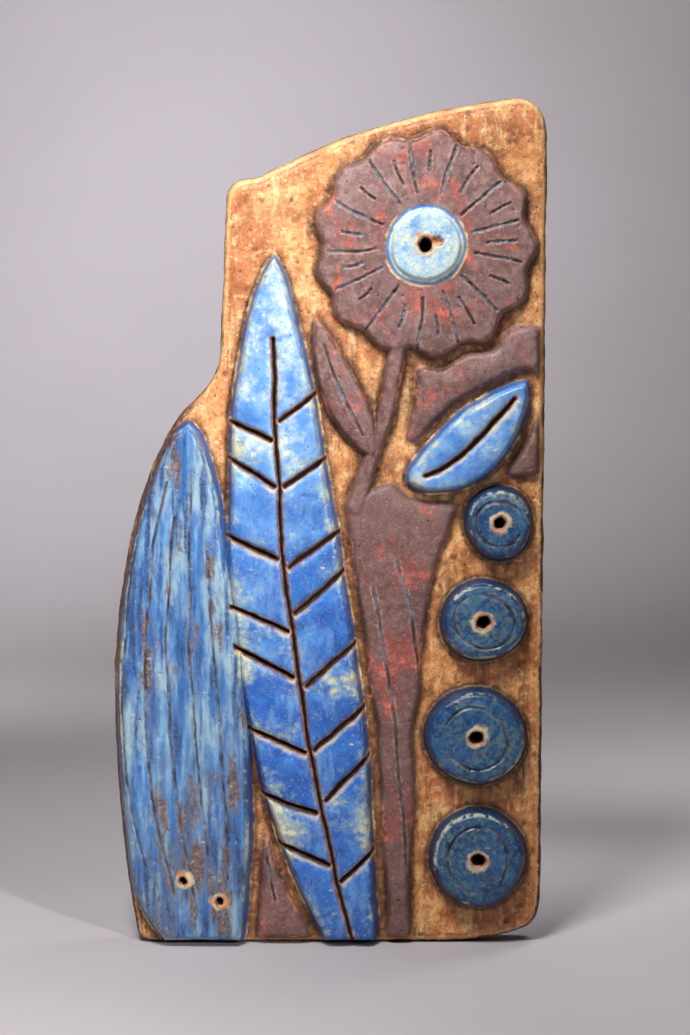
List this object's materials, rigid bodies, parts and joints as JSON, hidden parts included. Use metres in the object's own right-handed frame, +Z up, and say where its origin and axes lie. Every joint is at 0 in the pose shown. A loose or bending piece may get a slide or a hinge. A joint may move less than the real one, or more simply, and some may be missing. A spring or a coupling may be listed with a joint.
{
  "type": "glazed stoneware relief wall plaque",
  "caption": "Tall irregular stoneware wall plaque with a thick slab, raised leaf, bulb, berry and flower relief, cut grooves and pierced holes, in blue, brown and ochre glazes.",
  "frame": {"origin": "on the flat back face that lies against the wall, at the middle of the outline's box", "axes": "+Z up the plaque, +Y into the wall, +X to the right as seen from the front"},
  "size_m": [0.33, 0.0449, 0.648],
  "materials": {
    "glazed_stoneware": "satin blue, matt brown and ochre glazes over rough brown stoneware"
  },
  "bodies": {
    "root": {"plaque": "glazed_stoneware"}
  },
  "joints": []
}
